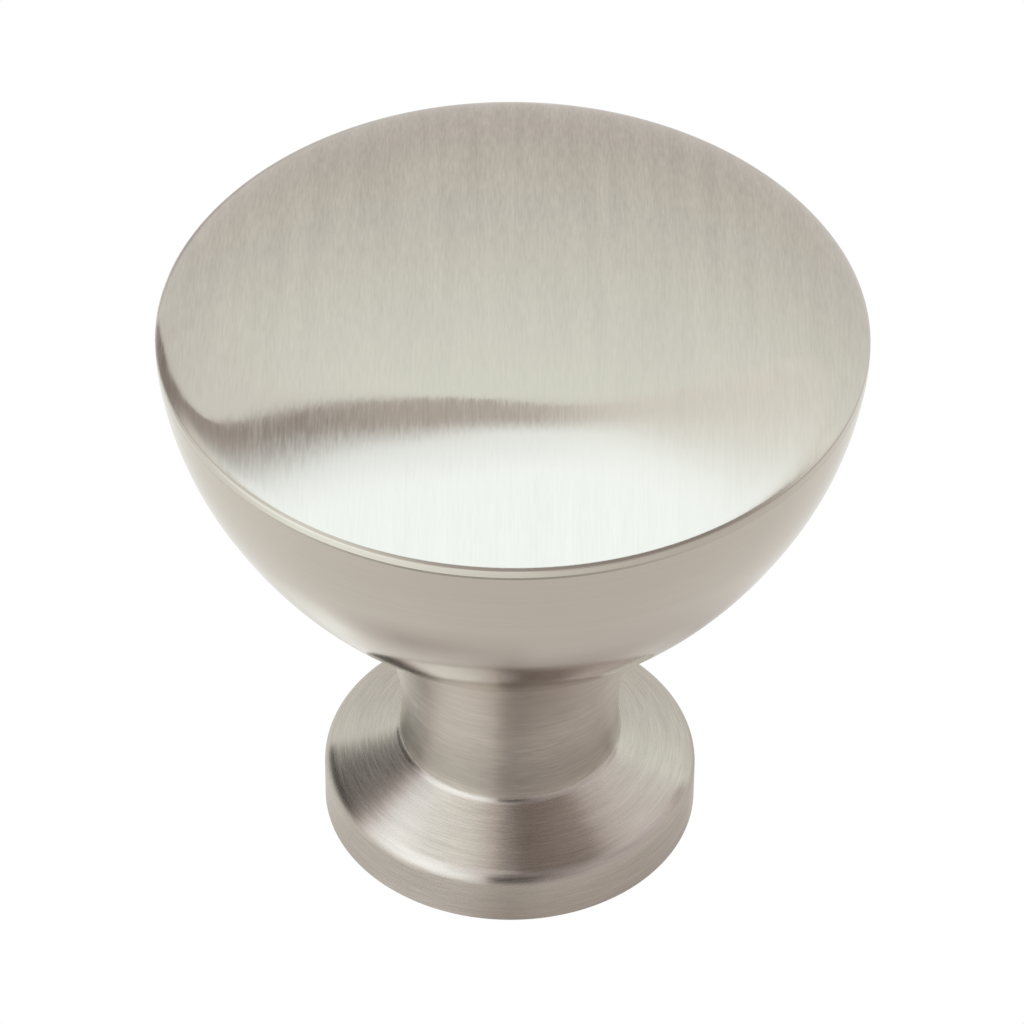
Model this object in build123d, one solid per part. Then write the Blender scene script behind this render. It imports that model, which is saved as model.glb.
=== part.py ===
from build123d import *
import math
import os

os.makedirs("parts", exist_ok=True)

# Cabinet knob, one solid casting, turned shape about Z. Millimetres.
# Z = 0 is the mounting face of the foot, +Z runs up through the head.

# head
head_d = 31.75            # widest diameter, at the rim band
rim_z = 28.04             # bottom of the rim band, where the bowl begins
rim_h = 0.52              # height of the rim band
dome_h = 4.47             # rise of the face above the rim band, the cap of an ellipse
dome_cut = 9.0            # where on the ellipse the cap ends, degrees above its widest
line_w = 0.13             # hairline groove at each side of the rim band, width
line_d = 0.05             # and depth

# bowl under the rim: two tangent arcs
bowl_tilt_top = 5.3       # undercut at the rim, degrees from vertical
bowl_r_top = 17.07
bowl_tilt_mid = 25.15     # undercut where the arcs meet
bowl_r_low = 25.6

# neck and stem
neck_r = 2.2              # hollow between stem and bowl
stem_waist_r = 5.10       # narrowest radius of the stem
stem_waist_z = 5.90
stem_hollow_r = 13.5      # long hollow curve of the stem

# foot
foot_d = 17.52
foot_corner_z = 2.61      # height where the cone would cut the rim wall
shoulder_r = 0.88
cone_top_z = 4.25         # height where the cone would cut the stem
cone_top_r = 5.20
stem_fillet = 0.40        # between cone and stem
foot_edge = 0.04          # just broken edge of the mounting face

# screw hole: blind, tapped for an 8-32 machine screw, drawn at tap-drill size
hole_r = 1.727
hole_depth = 12.0         # full-diameter depth
hole_mouth_r = 2.30       # 90 degree countersink at the mouth
drill_point = 118.0       # degrees


def polar(c, r, deg):
    a = math.radians(deg)
    return (c[0] + r * math.cos(a), c[1] + r * math.sin(a))


def circles_meet(c0, r0, c1, r1):
    """Both points where two circles cross."""
    dx, dy = c1[0] - c0[0], c1[1] - c0[1]
    d = math.hypot(dx, dy)
    a = (r0 * r0 - r1 * r1 + d * d) / (2 * d)
    h = math.sqrt(r0 * r0 - a * a)
    mx, my = c0[0] + a * dx / d, c0[1] + a * dy / d
    return ((mx + h * dy / d, my - h * dx / d), (mx - h * dy / d, my + h * dx / d))


def toward(c, p, r):
    """Point at distance r from c, on the line from c through p."""
    d = math.hypot(p[0] - c[0], p[1] - c[1])
    return (c[0] + (p[0] - c[0]) * r / d, c[1] + (p[1] - c[1]) * r / d)


def angle(c, p):
    return math.degrees(math.atan2(p[1] - c[1], p[0] - c[0]))


def arc(c, r, p0, p1):
    """Shorter arc about c from p0 to p1."""
    a0, a1 = angle(c, p0), angle(c, p1)
    while a1 - a0 > 180:
        a1 -= 360
    while a1 - a0 < -180:
        a1 += 360
    return ThreePointArc(p0, polar(c, r, (a0 + a1) / 2), p1)


head_r = head_d / 2
foot_r = foot_d / 2
face_z = rim_z + rim_h
top_z = face_z + dome_h

# face: the cap of an ellipse, drawn down to the hairline above the rim band
# (an exact rational curve, because a turned ellipse doesn't survive the STEP file)
cut = math.radians(dome_cut)
face_a = head_r / math.cos(cut)
face_c = dome_h / (1 - math.sin(cut))
face_mid_z = top_z - face_c
face_lip = math.asin((face_z + line_w / 2 - face_mid_z) / face_c)
face_end = (face_a * math.cos(face_lip), face_z + line_w / 2)
face_pull = (face_a * (1 - math.sin(face_lip)) / math.cos(face_lip), top_z)
face_weight = math.cos((math.pi / 2 - face_lip) / 2)

# hairline grooves, one at each side of the band
groove_hi = (head_r - line_d, face_z)
band_hi = (head_r, face_z - line_w / 2)
band_lo = (head_r, rim_z + line_w / 2)
groove_lo = (head_r - line_d, rim_z)

# bowl
bowl_c1 = polar((head_r, rim_z), -bowl_r_top, -bowl_tilt_top)
bowl_top = polar(bowl_c1, bowl_r_top, -bowl_tilt_top - math.degrees(line_w / 2 / bowl_r_top))
bowl_mid = polar(bowl_c1, bowl_r_top, -bowl_tilt_mid)
bowl_c2 = polar(bowl_mid, -bowl_r_low, -bowl_tilt_mid)

# stem and neck
stem_c = (stem_waist_r + stem_hollow_r, stem_waist_z)
neck_c = max(
    circles_meet(stem_c, stem_hollow_r - neck_r, bowl_c2, bowl_r_low + neck_r),
    key=lambda p: -abs(p[0] - stem_waist_r - neck_r),
)
bowl_end = toward(bowl_c2, neck_c, bowl_r_low)
stem_top = toward(stem_c, neck_c, stem_hollow_r)

# cone and the fillet between cone and stem
cone_ang = math.degrees(math.atan2(cone_top_z - foot_corner_z, foot_r - cone_top_r))
cone_n = (math.sin(math.radians(cone_ang)), math.cos(math.radians(cone_ang)))
# fillet centre: stem_fillet above the cone and stem_fillet clear of the stem curve
base_pt = (foot_r, foot_corner_z)
lo, hi = 0.0, 6.0
for _ in range(80):
    mid = (lo + hi) / 2
    c = (
        base_pt[0] - mid * math.cos(math.radians(cone_ang)) + stem_fillet * cone_n[0],
        base_pt[1] + mid * math.sin(math.radians(cone_ang)) + stem_fillet * cone_n[1],
    )
    if math.hypot(c[0] - stem_c[0], c[1] - stem_c[1]) < stem_hollow_r - stem_fillet:
        lo = mid
    else:
        hi = mid
fillet_c = c
stem_low = toward(stem_c, fillet_c, stem_hollow_r)
cone_hi = (fillet_c[0] - stem_fillet * cone_n[0], fillet_c[1] - stem_fillet * cone_n[1])

# shoulder
tangent = shoulder_r * math.tan(math.radians((90 - cone_ang) / 2))
shoulder_c = (foot_r - shoulder_r, foot_corner_z - tangent)
shoulder_hi = (shoulder_c[0] + shoulder_r * cone_n[0], shoulder_c[1] + shoulder_r * cone_n[1])
shoulder_lo = (foot_r, shoulder_c[1])

# screw hole
sink_z = hole_mouth_r - hole_r
tip_z = hole_depth + hole_r / math.tan(math.radians(drill_point / 2))

with BuildPart() as knob:
    with BuildSketch(Plane.XZ):
        with BuildLine():
            Bezier(face_end, face_pull, (0.0, top_z), weights=[1.0, face_weight, 1.0])
            Polyline(face_end, groove_hi, band_hi, band_lo, groove_lo, bowl_top)
            arc(bowl_c1, bowl_r_top, bowl_top, bowl_mid)
            arc(bowl_c2, bowl_r_low, bowl_mid, bowl_end)
            arc(neck_c, neck_r, bowl_end, stem_top)
            arc(stem_c, stem_hollow_r, stem_top, stem_low)
            arc(fillet_c, stem_fillet, stem_low, cone_hi)
            Line(cone_hi, shoulder_hi)
            arc(shoulder_c, shoulder_r, shoulder_hi, shoulder_lo)
            Polyline(
                shoulder_lo,
                (foot_r, foot_edge),
                (foot_r - foot_edge, 0.0),
                (hole_mouth_r, 0.0),
                (hole_r, sink_z),
                (hole_r, hole_depth),
                (0.0, tip_z),
                (0.0, top_z),
            )
        make_face()
    revolve(axis=Axis.Z)

knob_body = knob.part
knob_body.label = "knob_body"
export_step(knob_body, "parts/knob_body.step")
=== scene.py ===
import math

import bpy
from mathutils import Matrix, Vector


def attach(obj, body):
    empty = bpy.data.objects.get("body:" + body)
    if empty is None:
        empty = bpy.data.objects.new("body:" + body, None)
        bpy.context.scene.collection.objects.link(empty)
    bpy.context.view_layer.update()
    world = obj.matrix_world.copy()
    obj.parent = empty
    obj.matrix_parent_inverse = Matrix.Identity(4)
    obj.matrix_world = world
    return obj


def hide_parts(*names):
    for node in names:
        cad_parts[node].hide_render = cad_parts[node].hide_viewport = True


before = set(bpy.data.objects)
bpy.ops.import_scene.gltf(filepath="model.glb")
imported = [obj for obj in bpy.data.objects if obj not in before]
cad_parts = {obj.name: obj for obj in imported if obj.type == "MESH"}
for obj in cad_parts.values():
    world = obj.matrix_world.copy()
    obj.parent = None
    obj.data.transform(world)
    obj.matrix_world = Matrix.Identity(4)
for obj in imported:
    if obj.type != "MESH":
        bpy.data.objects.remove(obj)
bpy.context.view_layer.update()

# ---------------------------------------------------------------------------
# Turned profile, millimetres, the same driving numbers as the CAD part.

head_d = 31.75
rim_z = 28.04
rim_h = 0.52
dome_h = 4.47
dome_cut = 9.0
line_w = 0.13
line_d = 0.05
bowl_tilt_top = 5.3
bowl_r_top = 17.07
bowl_tilt_mid = 25.15
bowl_r_low = 25.6
neck_r = 2.2
stem_waist_r = 5.10
stem_waist_z = 5.90
stem_hollow_r = 13.5
foot_d = 17.52
foot_corner_z = 2.61
shoulder_r = 0.88
cone_top_z = 4.25
cone_top_r = 5.20
stem_fillet = 0.40
foot_edge = 0.04
hole_r = 1.727
hole_depth = 12.0
hole_mouth_r = 2.30
drill_point = 118.0
thread_pitch = 0.794
thread_major_r = 2.083


def polar(c, r, deg):
    a = math.radians(deg)
    return (c[0] + r * math.cos(a), c[1] + r * math.sin(a))


def circles_meet(c0, r0, c1, r1):
    dx, dy = c1[0] - c0[0], c1[1] - c0[1]
    d = math.hypot(dx, dy)
    a = (r0 * r0 - r1 * r1 + d * d) / (2 * d)
    h = math.sqrt(r0 * r0 - a * a)
    mx, my = c0[0] + a * dx / d, c0[1] + a * dy / d
    return ((mx + h * dy / d, my - h * dx / d), (mx - h * dy / d, my + h * dx / d))


def toward(c, p, r):
    d = math.hypot(p[0] - c[0], p[1] - c[1])
    return (c[0] + (p[0] - c[0]) * r / d, c[1] + (p[1] - c[1]) * r / d)


def angle(c, p):
    return math.degrees(math.atan2(p[1] - c[1], p[0] - c[0]))


head_r = head_d / 2
foot_r = foot_d / 2
face_z = rim_z + rim_h
top_z = face_z + dome_h

cut = math.radians(dome_cut)
face_a = head_r / math.cos(cut)
face_c = dome_h / (1 - math.sin(cut))
face_mid_z = top_z - face_c
face_lip = math.asin((face_z + line_w / 2 - face_mid_z) / face_c)
face_end = (face_a * math.cos(face_lip), face_z + line_w / 2)
groove_hi = (head_r - line_d, face_z)
band_hi = (head_r, face_z - line_w / 2)
band_lo = (head_r, rim_z + line_w / 2)
groove_lo = (head_r - line_d, rim_z)

bowl_c1 = polar((head_r, rim_z), -bowl_r_top, -bowl_tilt_top)
bowl_top = polar(bowl_c1, bowl_r_top, -bowl_tilt_top - math.degrees(line_w / 2 / bowl_r_top))
bowl_mid = polar(bowl_c1, bowl_r_top, -bowl_tilt_mid)
bowl_c2 = polar(bowl_mid, -bowl_r_low, -bowl_tilt_mid)

stem_c = (stem_waist_r + stem_hollow_r, stem_waist_z)
neck_c = max(
    circles_meet(stem_c, stem_hollow_r - neck_r, bowl_c2, bowl_r_low + neck_r),
    key=lambda p: -abs(p[0] - stem_waist_r - neck_r),
)
bowl_end = toward(bowl_c2, neck_c, bowl_r_low)
stem_top = toward(stem_c, neck_c, stem_hollow_r)

cone_ang = math.degrees(math.atan2(cone_top_z - foot_corner_z, foot_r - cone_top_r))
cone_n = (math.sin(math.radians(cone_ang)), math.cos(math.radians(cone_ang)))
lo, hi = 0.0, 6.0
for _ in range(80):
    mid = (lo + hi) / 2
    fillet_c = (
        foot_r - mid * math.cos(math.radians(cone_ang)) + stem_fillet * cone_n[0],
        foot_corner_z + mid * math.sin(math.radians(cone_ang)) + stem_fillet * cone_n[1],
    )
    if math.hypot(fillet_c[0] - stem_c[0], fillet_c[1] - stem_c[1]) < stem_hollow_r - stem_fillet:
        lo = mid
    else:
        hi = mid
stem_low = toward(stem_c, fillet_c, stem_hollow_r)
cone_hi = (fillet_c[0] - stem_fillet * cone_n[0], fillet_c[1] - stem_fillet * cone_n[1])

tangent = shoulder_r * math.tan(math.radians((90 - cone_ang) / 2))
shoulder_c = (foot_r - shoulder_r, foot_corner_z - tangent)
shoulder_hi = (shoulder_c[0] + shoulder_r * cone_n[0], shoulder_c[1] + shoulder_r * cone_n[1])
shoulder_lo = (foot_r, shoulder_c[1])

sink_z = hole_mouth_r - hole_r
tip_z = hole_depth + hole_r / math.tan(math.radians(drill_point / 2))

# ---------------------------------------------------------------------------
# Rings down the profile. Each ring: radius, height, zone of the strip below it,
# sharp crease or not.

FACE, EDGE, LINE, BAND, BOWL, STEM, FOOT, UNDER, HOLE = range(9)
rings = []


def add(p, zone, sharp=False):
    rings.append([p[0], p[1], zone, sharp])


def add_arc(c, r, p0, p1, n, zone, sharp=False):
    """Rings from p0 up to, but without, p1, along the shorter arc about c."""
    a0, a1 = angle(c, p0), angle(c, p1)
    while a1 - a0 > 180:
        a1 -= 360
    while a1 - a0 < -180:
        a1 += 360
    for k in range(n):
        add(polar(c, r, a0 + (a1 - a0) * k / n), zone, sharp and k == 0)


def add_line(p0, p1, n, zone, sharp=False):
    for k in range(n):
        t = k / n
        add((p0[0] + (p1[0] - p0[0]) * t, p0[1] + (p1[1] - p0[1]) * t), zone, sharp and k == 0)


SEG = 240
FACE_ROWS = 64
edge_lip = math.asin((face_z + 0.10 - face_mid_z) / face_c)
edge_top = (face_a * math.cos(edge_lip), face_z + 0.10)
edge_pull = (head_r, edge_top[1] - (head_r - edge_top[0]) * face_c * math.cos(edge_lip) / (face_a * math.sin(edge_lip)))
edge_end = (head_r, face_z - 0.17)
groove_lo = (head_r - 0.004, rim_z)
for k in range(FACE_ROWS):
    # rows close up towards the edge, where the curve is tight
    t = math.pi / 2 - (math.pi / 2 - edge_lip) * (1 - (1 - k / FACE_ROWS) ** 1.35)
    add((face_a * math.cos(t), face_mid_z + face_c * math.sin(t)), FACE)
for k in range(10):
    # the face's edge is just broken, not left knife sharp
    t = k / 10
    add(tuple((1 - t) ** 2 * p + 2 * t * (1 - t) * q + t * t * r for p, q, r in zip(edge_top, edge_pull, edge_end)), LINE if k < 3 else EDGE)
add_line(edge_end, band_lo, 4, BAND)
add_line(band_lo, groove_lo, 3, LINE, True)
add_line(groove_lo, bowl_top, 3, LINE, True)
add_arc(bowl_c1, bowl_r_top, bowl_top, bowl_mid, 20, BOWL, True)
add_arc(bowl_c2, bowl_r_low, bowl_mid, bowl_end, 28, BOWL)
add_arc(neck_c, neck_r, bowl_end, stem_top, 12, STEM)
add_arc(stem_c, stem_hollow_r, stem_top, stem_low, 36, STEM)
add_arc(fillet_c, stem_fillet, stem_low, cone_hi, 10, FOOT)
add_line(cone_hi, shoulder_hi, 16, FOOT)
add_arc(shoulder_c, shoulder_r, shoulder_hi, shoulder_lo, 16, FOOT)
add_line(shoulder_lo, (foot_r, foot_edge), 6, FOOT)
add_line((foot_r, foot_edge), (foot_r - foot_edge, 0.0), 2, FOOT, True)
add_line((foot_r - foot_edge, 0.0), (hole_mouth_r, 0.0), 10, UNDER, True)
add_line((hole_mouth_r, 0.0), (hole_r, sink_z), 4, HOLE, True)
thread_rows = int((hole_depth - sink_z) / thread_pitch * 8)
first_thread = len(rings)
add_line((hole_r, sink_z), (hole_r, hole_depth), thread_rows, HOLE, True)
last_thread = len(rings)
add_line((hole_r, hole_depth), (0.0, tip_z), 4, HOLE, True)
rings.append([0.0, tip_z, HOLE, False])

arcs = [0.0]
for a, b in zip(rings, rings[1:]):
    arcs.append(arcs[-1] + math.hypot(b[0] - a[0], b[1] - a[1]))


def thread_radius(theta, z):
    """Radius of a cut 60 degree thread, running out towards both ends."""
    phase = (z / thread_pitch - theta / (2 * math.pi)) % 1.0
    v = min(1.0, max(0.0, (abs(phase - 0.5) * 2 - 0.10) / 0.78))
    run = min(1.0, max(0.0, (z - sink_z) / thread_pitch), max(0.0, (hole_depth - 0.6 - z) / 1.2))
    return hole_r + (thread_major_r - hole_r) * v * run


verts, ring_ids, vert_arc = [], [], []
for i, (r, z, zone, sharp) in enumerate(rings):
    ids = []
    if r < 1e-9:
        ids = [len(verts)]
        verts.append((0.0, 0.0, z * 1e-3))
        vert_arc.append(arcs[i])
    else:
        for j in range(SEG):
            t = math.pi / 2 + 2 * math.pi * j / SEG
            rr = thread_radius(t, z) if first_thread <= i < last_thread else r
            ids.append(len(verts))
            verts.append((rr * math.cos(t) * 1e-3, rr * math.sin(t) * 1e-3, z * 1e-3))
            vert_arc.append(arcs[i])
    ring_ids.append(ids)


# UV islands for the baked images: discs for the face and the underside,
# strips for the rest.
def zone_span(zones):
    first = min(i for i, g in enumerate(rings) if g[2] in zones)
    last = max(i for i, g in enumerate(rings[:-1]) if g[2] in zones) + 1
    return arcs[first], arcs[last]


span_face = zone_span((FACE,))
span_side = zone_span((EDGE, LINE, BAND, BOWL))
span_stem = zone_span((STEM,))
span_foot = zone_span((FOOT,))
span_under = zone_span((UNDER,))
span_hole = zone_span((HOLE,))


def uv_at(zone, i, j):
    """UV of ring i, segment j (0..SEG) for a strip of that zone."""
    a = arcs[i]
    t = math.pi / 2 + 2 * math.pi * j / SEG
    u = j / SEG
    if zone == FACE:
        rad = a / span_face[1] * 0.285
        return (0.30 + rad * math.cos(t), 0.69 + rad * math.sin(t))
    if zone == UNDER:
        rad = rings[i][0] / foot_r * 0.155
        return (0.78 + rad * math.cos(t), 0.82 + rad * math.sin(t))
    box = {
        EDGE: (0.012, 0.205, 0.976, 0.180, span_side),
        LINE: (0.012, 0.205, 0.976, 0.180, span_side),
        BAND: (0.012, 0.205, 0.976, 0.180, span_side),
        BOWL: (0.012, 0.205, 0.976, 0.180, span_side),
        FOOT: (0.012, 0.112, 0.62, 0.080, span_foot),
        STEM: (0.012, 0.012, 0.62, 0.090, span_stem),
        HOLE: (0.65, 0.012, 0.338, 0.180, span_hole),
    }[zone]
    v = (a - box[4][0]) / (box[4][1] - box[4][0])
    return (box[0] + u * box[2], box[1] + (1 - v) * box[3])


faces, face_zone, face_uv = [], [], []
for i in range(len(rings) - 1):
    up, dn, zone = ring_ids[i], ring_ids[i + 1], rings[i][2]
    for j in range(SEG):
        k = (j + 1) % SEG
        if len(up) == 1:
            faces.append((up[0], dn[j], dn[k]))
            face_uv.append((uv_at(zone, i, j + 0.5), uv_at(zone, i + 1, j), uv_at(zone, i + 1, j + 1)))
        elif len(dn) == 1:
            faces.append((up[j], dn[0], up[k]))
            face_uv.append((uv_at(zone, i, j), uv_at(zone, i + 1, j + 0.5), uv_at(zone, i, j + 1)))
        else:
            faces.append((up[j], dn[j], dn[k], up[k]))
            face_uv.append((uv_at(zone, i, j), uv_at(zone, i + 1, j), uv_at(zone, i + 1, j + 1), uv_at(zone, i, j + 1)))
        face_zone.append(zone)

mesh = bpy.data.meshes.new("knob")
mesh.from_pydata(verts, [], faces)
mesh.update()
mesh.polygons.foreach_set("use_smooth", [True] * len(faces))
layer = mesh.uv_layers.new(name="OFBake")
layer.data.foreach_set("uv", [c for quad in face_uv for uv in quad for c in uv])
arc_attr = mesh.attributes.new("arc", "FLOAT", "POINT")
arc_attr.data.foreach_set("value", vert_arc)

sharp_pairs = set()
for i, g in enumerate(rings):
    if g[3] and len(ring_ids[i]) == SEG:
        ids = ring_ids[i]
        for j in range(SEG):
            sharp_pairs.add(frozenset((ids[j], ids[(j + 1) % SEG])))
sharp_attr = mesh.attributes.new("sharp_edge", "BOOLEAN", "EDGE")
sharp_attr.data.foreach_set("value", [frozenset(e.vertices) in sharp_pairs for e in mesh.edges])

knob = bpy.data.objects.new("knob", mesh)
bpy.context.scene.collection.objects.link(knob)

# ---------------------------------------------------------------------------
# Materials


class Nodes:
    """Short calls to lay down shader nodes."""

    def __init__(self, tree):
        self.tree = tree
        self.tree.nodes.clear()

    def new(self, kind, **props):
        n = self.tree.nodes.new(kind)
        for k, v in props.items():
            setattr(n, k, v)
        return n

    def put(self, socket, value):
        if isinstance(value, bpy.types.NodeSocket):
            self.tree.links.new(value, socket)
        elif value is not None:
            socket.default_value = value

    def math(self, op, a, b=None, c=None, clamp=False):
        n = self.new("ShaderNodeMath", operation=op, use_clamp=clamp)
        for s, v in zip(n.inputs, (a, b, c)):
            self.put(s, v)
        return n.outputs[0]

    def vec(self, op, a, b=None, scale=None):
        n = self.new("ShaderNodeVectorMath", operation=op)
        self.put(n.inputs[0], a)
        self.put(n.inputs[1], b)
        if scale is not None:
            self.put(n.inputs["Scale"], scale)
        return n.outputs["Value"] if op in ("DOT_PRODUCT", "LENGTH") else n.outputs["Vector"]

    def xyz(self, x, y, z):
        n = self.new("ShaderNodeCombineXYZ")
        for s, v in zip(n.inputs, (x, y, z)):
            self.put(s, v)
        return n.outputs[0]

    def split(self, v):
        n = self.new("ShaderNodeSeparateXYZ")
        self.put(n.inputs[0], v)
        return n.outputs

    def ramp(self, x, x0, x1, y0=0.0, y1=1.0, smooth=True):
        n = self.new("ShaderNodeMapRange", interpolation_type="SMOOTHSTEP" if smooth else "LINEAR", clamp=True)
        for s, v in zip(n.inputs, (x, x0, x1, y0, y1)):
            self.put(s, v)
        return n.outputs[0]

    def noise(self, vector, scale=1.0, detail=2.0, rough=0.5, dims="3D"):
        n = self.new("ShaderNodeTexNoise", noise_dimensions=dims)
        self.put(n.inputs["Vector"], vector)
        n.inputs["Scale"].default_value = scale
        n.inputs["Detail"].default_value = detail
        n.inputs["Roughness"].default_value = rough
        return n.outputs["Fac"]

    def mix(self, fac, a, b, blend="MIX"):
        n = self.new("ShaderNodeMix", data_type="RGBA", blend_type=blend)
        self.put(n.inputs["Factor"], fac)
        sock = [s for s in n.inputs if s.type == "RGBA"]
        self.put(sock[0], a)
        self.put(sock[1], b)
        return [s for s in n.outputs if s.type == "RGBA"][0]


def rgb(r, g, b):
    return (r, g, b, 1.0)


def blend(n, t, a, b):
    return n.math("ADD", n.math("MULTIPLY", a, n.math("SUBTRACT", 1.0, t)), n.math("MULTIPLY", b, t))


NICKEL = (0.640, 0.592, 0.535)


def shade(k):
    return rgb(*(min(1.0, c * k) for c in NICKEL))


def metal(name):
    m = bpy.data.materials.new(name)
    m.use_nodes = True
    n = Nodes(m.node_tree)
    out = n.new("ShaderNodeOutputMaterial")
    bsdf = n.new("ShaderNodeBsdfPrincipled")
    n.tree.links.new(bsdf.outputs[0], out.inputs[0])
    bsdf.inputs["Metallic"].default_value = 1.0
    coords = n.new("ShaderNodeTexCoord").outputs["Object"]
    mm = n.vec("SCALE", coords, scale=1000.0)
    return m, n, bsdf, mm


def face_metal():
    """Crown brushed in straight lines along Y."""
    m, n, bsdf, mm = metal("satin_nickel_face")
    fine = n.noise(n.vec("MULTIPLY", mm, (9.0, 0.95, 0.0)), detail=3.0, rough=0.6, dims="2D")
    broad = n.noise(n.vec("MULTIPLY", mm, (1.3, 0.10, 0.0)), detail=3.0, rough=0.55, dims="2D")
    tilt = n.noise(n.vec("MULTIPLY", n.vec("ADD", mm, (40.0, 7.0, 0.0)), (7.0, 2.6, 0.0)), detail=3.0, rough=0.6, dims="2D")
    streak = n.math("ADD", n.math("MULTIPLY", fine, 0.6), n.math("MULTIPLY", broad, 0.4))
    # the brush streaks sit in the colour; their contrast is raised towards the back of the face as painted light, where
    # the reflected light shows them more
    streak_contrast = n.ramp(n.split(mm)[1], -10.0, 13.0, 0.030, 0.16, smooth=False)
    tone = n.math("MULTIPLY_ADD", n.ramp(streak, 0.3, 0.7, -1.0, 1.0, smooth=False), streak_contrast, 1.0)
    n.put(bsdf.inputs["Base Color"], n.vec("SCALE", NICKEL, scale=tone))
    n.put(bsdf.inputs["Roughness"], n.ramp(streak, 0.34, 0.66, 0.07, 0.16, smooth=False))
    bsdf.inputs["Anisotropic"].default_value = 1.0
    n.put(bsdf.inputs["Tangent"], n.xyz(1.0, 0.0, 0.0))
    geo = n.new("ShaderNodeNewGeometry")
    lean = n.xyz(n.math("MULTIPLY_ADD", fine, 0.04, -0.02), n.math("MULTIPLY_ADD", tilt, 0.014, -0.007), 0.0)
    n.put(bsdf.inputs["Normal"], n.vec("NORMALIZE", n.vec("ADD", geo.outputs["Normal"], lean)))
    return m


def bowl_metal():
    """Rim band and bowl: even satin, faint turning lines."""
    m, n, bsdf, mm = metal("satin_nickel_bowl")
    x, y, z = n.split(mm)
    arc = n.new("ShaderNodeAttribute", attribute_name="arc").outputs["Fac"]
    rx, ry, _ = n.split(n.vec("NORMALIZE", n.xyz(x, y, 0.0)))
    lines = n.noise(n.xyz(n.math("MULTIPLY", rx, 1.5), n.math("MULTIPLY", ry, 1.5), n.math("MULTIPLY", arc, 7.0)), detail=3.0, rough=0.6)
    cloud = n.noise(mm, scale=0.25, detail=3.0, rough=0.5)
    tone = n.math("ADD", n.math("MULTIPLY", lines, 0.5), n.math("MULTIPLY", cloud, 0.5))
    n.put(bsdf.inputs["Base Color"], n.mix(n.ramp(tone, 0.3, 0.7, smooth=False), shade(0.97), shade(1.03)))
    n.put(bsdf.inputs["Roughness"], n.ramp(tone, 0.3, 0.7, 0.11, 0.14, smooth=False))
    bump = n.new("ShaderNodeBump")
    bump.inputs["Strength"].default_value = 0.05
    bump.inputs["Distance"].default_value = 0.00002
    n.put(bump.inputs["Height"], lines)
    n.put(bsdf.inputs["Normal"], bump.outputs[0])
    return m


def line_metal():
    """Hairlines at the rim: painted shade darkens them, most at the front, fading out towards the sides."""
    m, n, bsdf, mm = metal("satin_nickel_line")
    x, y, z = n.split(mm)
    turn = n.math("MULTIPLY", n.math("ARCTAN2", x, n.math("MULTIPLY", y, -1.0)), 180.0 / math.pi)
    lower = n.math("MAXIMUM", n.ramp(turn, 0.0, 36.0), n.ramp(turn, -14.0, -50.0))
    upper = n.math("MAXIMUM", n.ramp(turn, -10.0, 25.0, 0.72, 0.95), n.ramp(n.math("ABSOLUTE", n.math("ADD", turn, 31.0)), 6.0, 22.0, 0.95, 0.0))
    # painted shade in the hairlines: the mask is low where they are darkened, at the front, and high towards the sides
    painted_lit = blend(n, n.math("GREATER_THAN", z, (rim_z + face_z) / 2), lower, upper)
    grain = n.noise(mm, scale=2.0, detail=3.0, rough=0.6)
    n.put(bsdf.inputs["Base Color"], n.mix(n.math("MULTIPLY_ADD", grain, 0.2, n.math("MULTIPLY", painted_lit, 0.8)), shade(0.55), shade(1.0)))
    n.put(bsdf.inputs["Roughness"], n.ramp(grain, 0.3, 0.7, 0.16, 0.22, smooth=False))
    return m


def turned_metal(name, rough, spread, waist_shade=0.0):
    """Stem and foot: brushed round the axis; on the stem, painted shade darkens the colour at its waist and painted
    light lifts it above and below.
    """
    m, n, bsdf, mm = metal(name)
    x, y, z = n.split(mm)
    arc = n.new("ShaderNodeAttribute", attribute_name="arc").outputs["Fac"]
    rx, ry, _ = n.split(n.vec("NORMALIZE", n.xyz(x, y, 0.0)))

    def turning(around, across, shift, detail, rough):
        v = n.xyz(n.math("MULTIPLY_ADD", rx, around, shift), n.math("MULTIPLY", ry, around), n.math("MULTIPLY", arc, across))
        return n.noise(v, detail=detail, rough=rough)

    fine = n.math("ADD", n.math("MULTIPLY", turning(3.0, 10.0, 0.0, 3.0, 0.6), 0.5), n.math("MULTIPLY", turning(6.0, 26.0, 5.0, 2.0, 0.5), 0.5))
    broad = turning(1.4, 2.2, 9.0, 2.0, 0.5)
    tilt = turning(4.0, 7.0, 21.0, 3.0, 0.6)
    tone = n.math("ADD", n.ramp(fine, 0.3, 0.7, -0.11, 0.11), n.ramp(broad, 0.3, 0.7, 0.97, 1.03))
    # painted shade at the stem's concave waist, painted light above and below it
    if waist_shade:
        painted_lit = n.math("MAXIMUM", n.ramp(z, 5.4, 8.4), n.ramp(z, 5.2, 4.3))
        tone = n.math("MULTIPLY", tone, n.ramp(painted_lit, 0.0, 1.0, 1.0 - waist_shade, 1.0 + 0.6 * waist_shade, smooth=False))
    n.put(bsdf.inputs["Base Color"], n.vec("SCALE", NICKEL, scale=tone))
    n.put(bsdf.inputs["Roughness"], n.ramp(fine, 0.3, 0.7, rough - 0.04, rough + 0.04, smooth=False))
    bsdf.inputs["Anisotropic"].default_value = spread
    n.put(bsdf.inputs["Tangent"], n.xyz(0.0, 0.0, 1.0))
    geo = n.new("ShaderNodeNewGeometry")
    away = n.xyz(n.math("MULTIPLY", ry, -1.0), rx, 0.0)
    lean = n.vec("ADD", n.vec("SCALE", away, scale=n.math("MULTIPLY_ADD", tilt, 0.05, -0.025)), n.xyz(0.0, 0.0, n.math("MULTIPLY_ADD", fine, 0.12, -0.06)))
    n.put(bsdf.inputs["Normal"], n.vec("NORMALIZE", n.vec("ADD", geo.outputs["Normal"], lean)))
    return m


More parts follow.
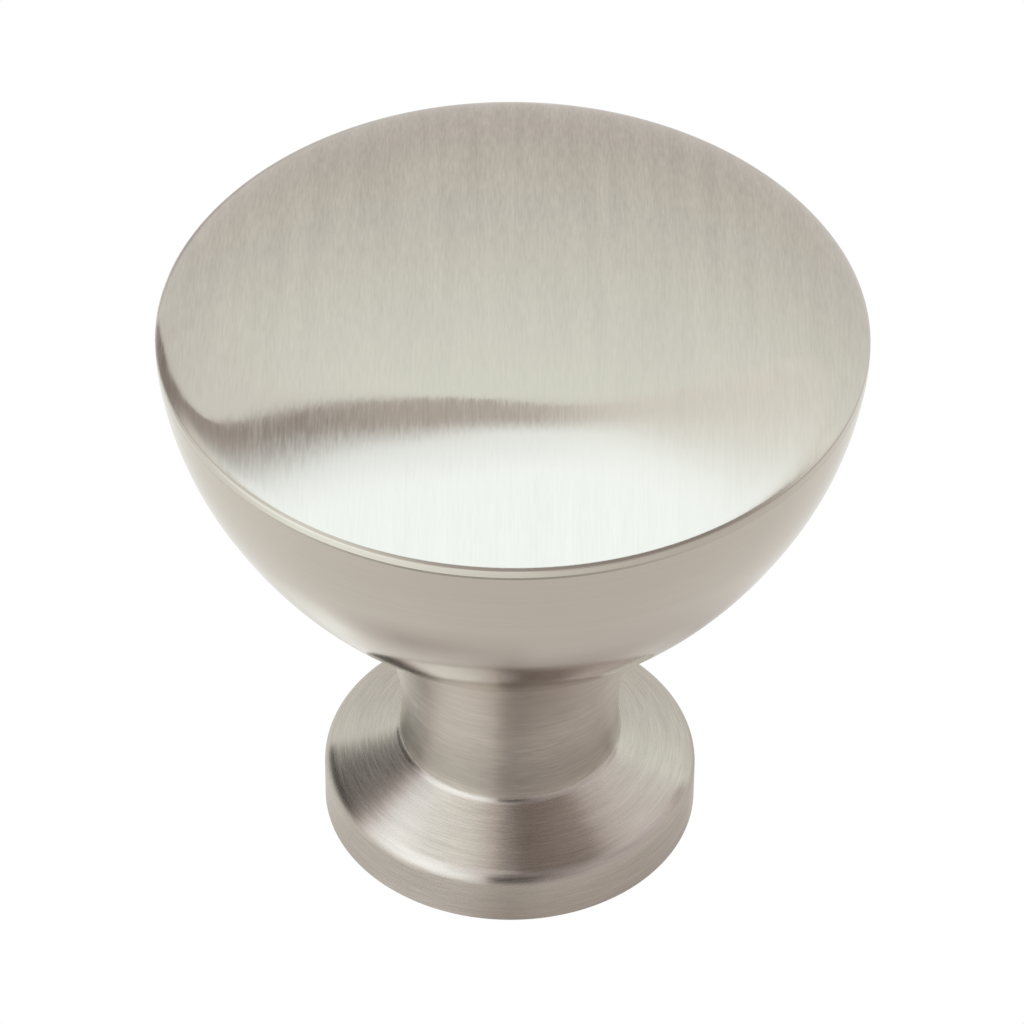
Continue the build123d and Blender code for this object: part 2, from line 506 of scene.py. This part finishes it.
def plain_metal():
    """Mounting face and screw hole: plain machined metal."""
    m, n, bsdf, mm = metal("satin_nickel_plain")
    grain = n.noise(mm, scale=1.4, detail=4.0, rough=0.6)
    n.put(bsdf.inputs["Base Color"], n.mix(grain, shade(0.86), shade(0.98)))
    n.put(bsdf.inputs["Roughness"], n.ramp(grain, 0.3, 0.7, 0.32, 0.42, smooth=False))
    bump = n.new("ShaderNodeBump")
    bump.inputs["Strength"].default_value = 0.1
    bump.inputs["Distance"].default_value = 0.00002
    n.put(bump.inputs["Height"], grain)
    n.put(bsdf.inputs["Normal"], bump.outputs[0])
    return m


for m in (face_metal(), line_metal(), bowl_metal(), turned_metal("satin_nickel_stem", 0.36, 0.50, 0.12), turned_metal("satin_nickel_foot", 0.27, 0.97), plain_metal()):
    mesh.materials.append(m)
slot_of = {FACE: 0, EDGE: 2, LINE: 1, BAND: 2, BOWL: 2, STEM: 3, FOOT: 4, UNDER: 5, HOLE: 5}
mesh.polygons.foreach_set("material_index", [slot_of[z] for z in face_zone])

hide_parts("knob_body")
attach(knob, "root")

# ---------------------------------------------------------------------------
# Studio numbers. Directions in degrees, lengths in mm, levels where 1 is paper white.

# The floor rows paint the knob's own shadow: low next to the foot and in front of it, rising outwards.
FLOOR_LEVEL = [(0, 0.60), (9, 0.65), (12, 0.70), (16, 0.77), (24, 0.79), (36, 0.80), (60, 0.90), (100, 1.0)]
FLOOR_BACK = 0.16
FLOOR_RIGHT = -0.05
FLOOR_NEAR = [(-180, 0.70), (-158, 0.52), (-140, 0.60), (-125, 0.82), (-110, 0.95), (-90, 0.82), (-65, 0.72), (-40, 0.67), (-22, 0.62), (-8, 0.50), (0, 0.43), (12, 0.48), (45, 0.48), (60, 0.53), (85, 0.64), (110, 0.60), (140, 0.74), (180, 0.70)]
FLOOR_MID = [(-180, 0.66), (-158, 0.55), (-142, 0.68), (-128, 0.78), (-112, 0.86), (-104, 1.00), (-85, 1.04), (-65, 0.67), (-45, 0.48), (-25, 0.51), (-12, 0.56), (4, 0.58), (12, 0.63), (25, 0.63), (60, 0.60), (85, 0.60), (110, 0.54), (130, 0.58), (150, 0.66), (180, 0.66)]
FLOOR_RIM = [(-180, 0.66), (-165, 0.56), (-150, 0.48), (-134, 0.78), (-105, 0.95), (-85, 1.18), (-61, 1.42), (-35, 1.26), (-16, 1.07), (0, 0.95), (15, 0.82), (31, 0.71), (65, 0.60), (90, 0.60), (115, 0.68), (150, 0.62), (168, 0.60), (180, 0.66)]
FLOOR_EDGE = [(-180, 0.66), (-165, 0.55), (-150, 0.45), (-134, 0.72), (-120, 0.80), (-98, 0.84), (-80, 0.94), (-61, 1.00), (-45, 0.90), (-33, 0.72), (-15, 0.49), (0, 0.44), (14, 0.38), (29, 0.34), (55, 0.34), (67, 0.42), (78, 0.62), (88, 0.90), (100, 1.05), (120, 0.95), (150, 0.70), (168, 0.60), (180, 0.66)]
SKIRT_HIGH = [(-130, 0.35), (-120, 0.35), (-112, 0.70), (-104, 1.35), (-96, 1.85), (-78, 2.25), (-65, 1.60), (-35, 1.40), (-22, 1.15), (-13, 0.85), (-6, 1.20), (2, 1.25), (8, 0.28), (14, 0.05), (60, 0.08), (75, 0.80), (90, 0.88), (114, 0.80)]
SKIRT_MID = [(-130, 0.14), (-112, 0.12), (-104, 0.20), (-96, 0.32), (-88, 1.15), (-78, 1.33), (-65, 1.36), (-50, 1.30), (-35, 1.18), (-22, 0.94), (-13, 0.88), (-6, 0.62), (0, 0.22), (6, 0.44), (12, 0.54), (20, 0.42), (45, 0.43), (60, 0.56), (75, 0.74), (90, 0.78), (114, 0.75)]
SKIRT_LOW = [(-130, 0.05), (-122, 0.02), (-96, 0.04), (-88, 0.22), (-78, 1.04), (-65, 1.42), (-50, 1.70), (-38, 1.72), (-22, 1.42), (-13, 0.88), (-8, 0.08), (-4, 0.01), (8, 0.01), (12, 0.05), (20, 0.26), (32, 0.42), (45, 0.52), (75, 0.57), (90, 0.65), (114, 0.40)]
WALL_EDGE = [(-180, 50), (-125, 41), (-105, 45.3), (-85, 53.1), (-72, 56.2), (-58, 54.6), (-44, 51.3), (-30, 48.2), (-18, 46.6), (-5, 47.0), (5, 49.1), (13, 52.0), (20, 52.8), (35, 53.2), (60, 54.5), (100, 98), (180, 90)]
WALL_SOFT = [(-180, 60), (-125, 60), (-85, 33), (-65, 28), (-45, 20), (-25, 11.5), (-12, 7), (0, 4.4), (12, 5.0), (25, 20), (40, 42), (60, 60), (180, 60)]
GAP_LEVEL = [(-180, 0.30), (-125, 0.26), (-105, 0.30), (-85, 0.41), (-65, 0.42), (-40, 0.37), (-25, 0.43), (-15, 0.53), (-5, 0.57), (3, 0.59), (9, 0.67), (13, 0.77), (17, 0.93), (25, 0.985), (180, 0.985)]
GAP_WIDTH = [(-180, 3.4), (-60, 3.4), (-44, 4.0), (-30, 4.2), (-18, 5.2), (-9, 5.6), (-3, 5.0), (3, 4.0), (10, 3.2), (14, 2.2), (180, 2.2)]
TENT_RISE = 14.0
WALL_EDGE_BLUR = 0.6
WALL_LOW = (0.655, 0.63, 0.60)
WALL_HIGH = (1.005, 1.08, 1.04)
TENT = (1.38, 1.55, 1.62)

# ---------------------------------------------------------------------------
# Floor: white to the camera; to the reflections a glowing disc, its levels painting the knob's shadow round the foot
# and brighter floor further out.


def curve(n, x, x0, x1, y1, points, handle="AUTO_CLAMPED"):
    """Value of a drawn curve: x from x0 to x1, y from 0 to y1."""
    c = n.new("ShaderNodeFloatCurve")
    n.put(c.inputs["Value"], n.ramp(x, x0, x1, smooth=False))
    line = c.mapping.curves[0]
    spots = [((px - x0) / (x1 - x0), py / y1) for px, py in points]
    while len(line.points) < len(spots):
        line.points.new(0.5, 0.5)
    for dot, at in zip(line.points, spots):
        dot.location = at
        dot.handle_type = handle
    c.mapping.update()
    return n.math("MULTIPLY", c.outputs[0], y1)


def tinted(n, level):
    """Colour of a surface at that level: warm where it is dim, cool where it is lit."""
    u = n.math("MULTIPLY", level, 1.0 / 1.4, clamp=True)
    r = n.math("MULTIPLY", level, n.math("MULTIPLY_ADD", u, -0.19, 1.125))
    g = n.math("MULTIPLY", r, n.math("MULTIPLY_ADD", u, 0.24, 0.85))
    b = n.math("MULTIPLY", r, n.math("MULTIPLY_ADD", u, 0.27, 0.79))
    return n.xyz(r, g, b)


def stage_mesh(name, verts, faces, material):
    me = bpy.data.meshes.new(name)
    me.from_pydata(verts, [], faces)
    me.update()
    ob = bpy.data.objects.new(name, me)
    bpy.context.scene.collection.objects.link(ob)
    me.materials.append(material)
    return ob


fm = bpy.data.materials.new("floor_pale")
fm.use_nodes = True
fm.cycles.emission_sampling = "NONE"
n = Nodes(fm.node_tree)
out = n.new("ShaderNodeOutputMaterial")
mm = n.vec("SCALE", n.new("ShaderNodeTexCoord").outputs["Object"], scale=1000.0)
fx, fy, _ = n.split(mm)
radius = n.vec("LENGTH", n.xyz(fx, fy, 0.0))
far = curve(n, radius, 0.0, 100.0, 2.0, FLOOR_LEVEL)
round_by = n.math("ADD", radius, 1.0)
far = n.math("MULTIPLY", far, n.math("ADD", n.math("MULTIPLY", n.math("DIVIDE", fy, round_by), FLOOR_BACK), n.math("MULTIPLY_ADD", n.math("DIVIDE", fx, round_by), FLOOR_RIGHT, 1.0)))
turn = n.math("MULTIPLY", n.math("ARCTAN2", fx, n.math("MULTIPLY", fy, -1.0)), 180.0 / math.pi)
close = curve(n, turn, -180.0, 180.0, 2.0, FLOOR_NEAR, "VECTOR")
mid = curve(n, turn, -180.0, 180.0, 2.0, FLOOR_MID, "VECTOR")
level = blend(n, n.ramp(radius, 9.5, 13.0, smooth=False), close, mid)
level = blend(n, n.ramp(radius, 13.0, 19.0, smooth=False), level, far)
level = blend(n, n.ramp(radius, 42.0, 47.0), level, curve(n, turn, -180.0, 180.0, 2.0, FLOOR_RIM, "VECTOR"))
level = blend(n, n.ramp(radius, 52.0, 66.0), level, curve(n, turn, -180.0, 180.0, 2.0, FLOOR_EDGE, "VECTOR"))
glow = n.new("ShaderNodeEmission")
n.put(glow.inputs["Color"], tinted(n, level))
clear = n.new("ShaderNodeBsdfTransparent")
near = n.new("ShaderNodeMixShader")
n.put(near.inputs[0], blend(n, n.ramp(n.math("ABSOLUTE", turn), 100.0, 120.0), n.ramp(radius, 118.0, 124.0), n.ramp(radius, 85.0, 95.0)))
n.tree.links.new(glow.outputs[0], near.inputs[1])
n.tree.links.new(clear.outputs[0], near.inputs[2])
white = n.new("ShaderNodeEmission")
white.inputs["Color"].default_value = rgb(1, 1, 1)
path = n.new("ShaderNodeLightPath")
pick = n.new("ShaderNodeMixShader")
n.put(pick.inputs[0], path.outputs["Is Camera Ray"])
n.tree.links.new(near.outputs[0], pick.inputs[1])
n.tree.links.new(white.outputs[0], pick.inputs[2])
n.tree.links.new(pick.outputs[0], out.inputs[0])
q = 4.0
stage_mesh("floor", [(-q, -q, -2e-5), (q, -q, -2e-5), (q, q, -2e-5), (-q, q, -2e-5)], [(0, 1, 2, 3)], fm)

# ---------------------------------------------------------------------------
# A sloping card round the front, below the rim: only the stem and the foot look
# at it. Its left part is lit, its right part is not.

SKIRT_IN, SKIRT_OUT, SKIRT_LEFT, SKIRT_RIGHT = 16.3, 51.0, -130.0, 114.0
cm = bpy.data.materials.new("front_card")
cm.use_nodes = True
cm.cycles.emission_sampling = "NONE"
n = Nodes(cm.node_tree)
out = n.new("ShaderNodeOutputMaterial")
mm = n.vec("SCALE", n.new("ShaderNodeTexCoord").outputs["Object"], scale=1000.0)
fx, fy, fz = n.split(mm)
radius = n.vec("LENGTH", n.xyz(fx, fy, 0.0))
turn = n.math("MULTIPLY", n.math("ARCTAN2", fx, n.math("MULTIPLY", fy, -1.0)), 180.0 / math.pi)
high, mid, low = (curve(n, turn, -130.0, 120.0, 2.5, row, "VECTOR") for row in (SKIRT_HIGH, SKIRT_MID, SKIRT_LOW))
level = blend(n, n.ramp(radius, 17.5, 23.0, smooth=False), high, mid)
level = blend(n, n.ramp(radius, 23.0, 33.0, smooth=False), level, low)
glow = n.new("ShaderNodeEmission")
n.put(glow.inputs["Color"], n.vec("MULTIPLY", tinted(n, level), (1.01, 0.985, 1.05)))
clear = n.new("ShaderNodeBsdfTransparent")
fade = n.new("ShaderNodeMixShader")
n.put(fade.inputs[0], n.math("MAXIMUM", n.ramp(turn, SKIRT_RIGHT - 6.0, SKIRT_RIGHT), n.ramp(turn, SKIRT_LEFT + 3.0, SKIRT_LEFT)))
n.tree.links.new(glow.outputs[0], fade.inputs[1])
n.tree.links.new(clear.outputs[0], fade.inputs[2])
n.tree.links.new(fade.outputs[0], out.inputs[0])
ring, quads = [], []
for k in range(121):
    t = math.radians(SKIRT_LEFT + (SKIRT_RIGHT - SKIRT_LEFT) * k / 120)
    for r in (SKIRT_IN, SKIRT_OUT):
        ring.append((r * math.sin(t) * 1e-3, -r * math.cos(t) * 1e-3, (28.36 - 0.8 * (r - 16.0)) * 1e-3))
    if k:
        quads.append((2 * k - 2, 2 * k, 2 * k + 1, 2 * k - 1))
card = stage_mesh("front_card", ring, quads, cm)
card.visible_camera = False

# ---------------------------------------------------------------------------
# A low card further out: only the edge of the face looks at it.

om = bpy.data.materials.new("outer_card")
om.use_nodes = True
om.cycles.emission_sampling = "NONE"
n = Nodes(om.node_tree)
out = n.new("ShaderNodeOutputMaterial")
fx, fy, fz = n.split(n.vec("SCALE", n.new("ShaderNodeTexCoord").outputs["Object"], scale=1000.0))
turn = n.math("MULTIPLY", n.math("ARCTAN2", fx, n.math("MULTIPLY", fy, -1.0)), 180.0 / math.pi)
glow = n.new("ShaderNodeEmission")
n.put(glow.inputs["Color"], tinted(n, curve(n, turn, -180.0, 180.0, 2.0, FLOOR_EDGE, "VECTOR")))
clear = n.new("ShaderNodeBsdfTransparent")
fade = n.new("ShaderNodeMixShader")
n.put(fade.inputs[0], n.math("MAXIMUM", n.ramp(n.math("ABSOLUTE", turn), 98.0, 112.0), n.ramp(fz, 34.0, 42.0)))
n.tree.links.new(glow.outputs[0], fade.inputs[1])
n.tree.links.new(clear.outputs[0], fade.inputs[2])
n.tree.links.new(fade.outputs[0], out.inputs[0])
ring, quads = [], []
for k in range(97):
    t = math.radians(-114 + 228 * k / 96)
    for z in (0.0, 42.0):
        ring.append((118.0 * math.sin(t) * 1e-3, -118.0 * math.cos(t) * 1e-3, z * 1e-3))
    if k:
        quads.append((2 * k - 2, 2 * k, 2 * k + 1, 2 * k - 1))
card = stage_mesh("outer_card", ring, quads, om)
card.visible_camera = False

# ---------------------------------------------------------------------------
# Studio by direction: a white tent all round, a pale wall behind, and the
# unlit edge between them to the left and above.

world = bpy.data.worlds.new("studio")
world.use_nodes = True
bpy.context.scene.world = world
n = Nodes(world.node_tree)
out = n.new("ShaderNodeOutputWorld")
d = n.vec("NORMALIZE", n.new("ShaderNodeTexCoord").outputs["Generated"])
dx, dy, dz = n.split(d)
wall_az, wall_el = math.radians(-12.0), math.radians(17.0)
to_wall = Vector((math.sin(wall_az) * math.cos(wall_el), math.cos(wall_az) * math.cos(wall_el), math.sin(wall_el)))
to_right = Vector((math.cos(wall_az), -math.sin(wall_az), 0.0))
to_top = to_right.cross(to_wall)
deg = 180.0 / math.pi
off = n.math("MULTIPLY", n.math("ARCCOSINE", n.vec("DOT_PRODUCT", d, tuple(to_wall))), deg)
turn = n.math("MULTIPLY", n.math("ARCTAN2", n.vec("DOT_PRODUCT", d, tuple(to_right)), n.vec("DOT_PRODUCT", d, tuple(to_top))), deg)
edge = curve(n, turn, -180.0, 180.0, 120.0, WALL_EDGE)
soft = curve(n, turn, -180.0, 180.0, 80.0, WALL_SOFT)
gap = curve(n, turn, -180.0, 180.0, 2.0, GAP_LEVEL)
past = n.math("SUBTRACT", off, edge)
inner = n.ramp(past, -WALL_EDGE_BLUR / 2, WALL_EDGE_BLUR / 2)
beyond = n.math("SUBTRACT", past, curve(n, turn, -180.0, 180.0, 10.0, GAP_WIDTH))
outer = blend(n, 0.26, n.ramp(beyond, 0.0, soft), n.ramp(beyond, n.math("MULTIPLY", soft, 0.3), n.math("ADD", soft, TENT_RISE)))
az = n.math("MULTIPLY", n.math("ARCTAN2", dx, dy), deg)
el = n.math("MULTIPLY", n.math("ARCSINE", dz), deg)
low = n.math("MULTIPLY", n.ramp(n.math("ABSOLUTE", az), 0.0, 96.0, 1.0, 0.0), n.ramp(el, 1.5, 73.0, 1.0, 0.0))
wall_col = n.mix(low, rgb(*WALL_HIGH), rgb(*WALL_LOW))
wall_col = n.mix(n.ramp(az, -32.0, -58.0), wall_col, rgb(0.975, 0.945, 0.955), "MULTIPLY")
gap_col = tinted(n, gap)
col = n.mix(outer, gap_col, rgb(*TENT))
col = n.mix(inner, wall_col, col)
path = n.new("ShaderNodeLightPath")
light = n.new("ShaderNodeBackground")
n.put(light.inputs["Color"], col)
plain = n.new("ShaderNodeBackground")
plain.inputs["Color"].default_value = rgb(1, 1, 1)
pick = n.new("ShaderNodeMixShader")
n.put(pick.inputs[0], path.outputs["Is Camera Ray"])
n.tree.links.new(light.outputs[0], pick.inputs[1])
n.tree.links.new(plain.outputs[0], pick.inputs[2])
n.tree.links.new(pick.outputs[0], out.inputs[0])

bpy.context.scene.view_settings.view_transform = "Standard"
bpy.context.scene.view_settings.look = "None"
bpy.context.scene.view_settings.exposure = 0.0
bpy.context.scene.view_settings.gamma = 1.0

# ---------------------------------------------------------------------------
# Camera

elev = math.radians(41.83902)
dist = 0.26838302
roll = math.radians(0.40743)
target = Vector((0.0, 0.0, 0.0176586))
ahead = Vector((0.0, math.cos(elev), -math.sin(elev)))
side = Vector((1.0, 0.0, 0.0))
above = Vector((0.0, math.sin(elev), math.cos(elev)))
cam_x = side * math.cos(roll) + above * math.sin(roll)
cam_y = above * math.cos(roll) - side * math.sin(roll)
place = target - ahead * dist + cam_x * 0.00002
cam_data = bpy.data.cameras.new("camera")
cam_data.sensor_width = 36.0
cam_data.sensor_fit = "HORIZONTAL"
cam_data.lens = 206.8104
cam_data.clip_start = 0.01
cam_data.clip_end = 50.0
cam = bpy.data.objects.new("camera", cam_data)
m = Matrix((cam_x, cam_y, -ahead)).transposed().to_4x4()
m.translation = place
cam.matrix_world = m
bpy.context.scene.collection.objects.link(cam)
bpy.context.scene.camera = cam
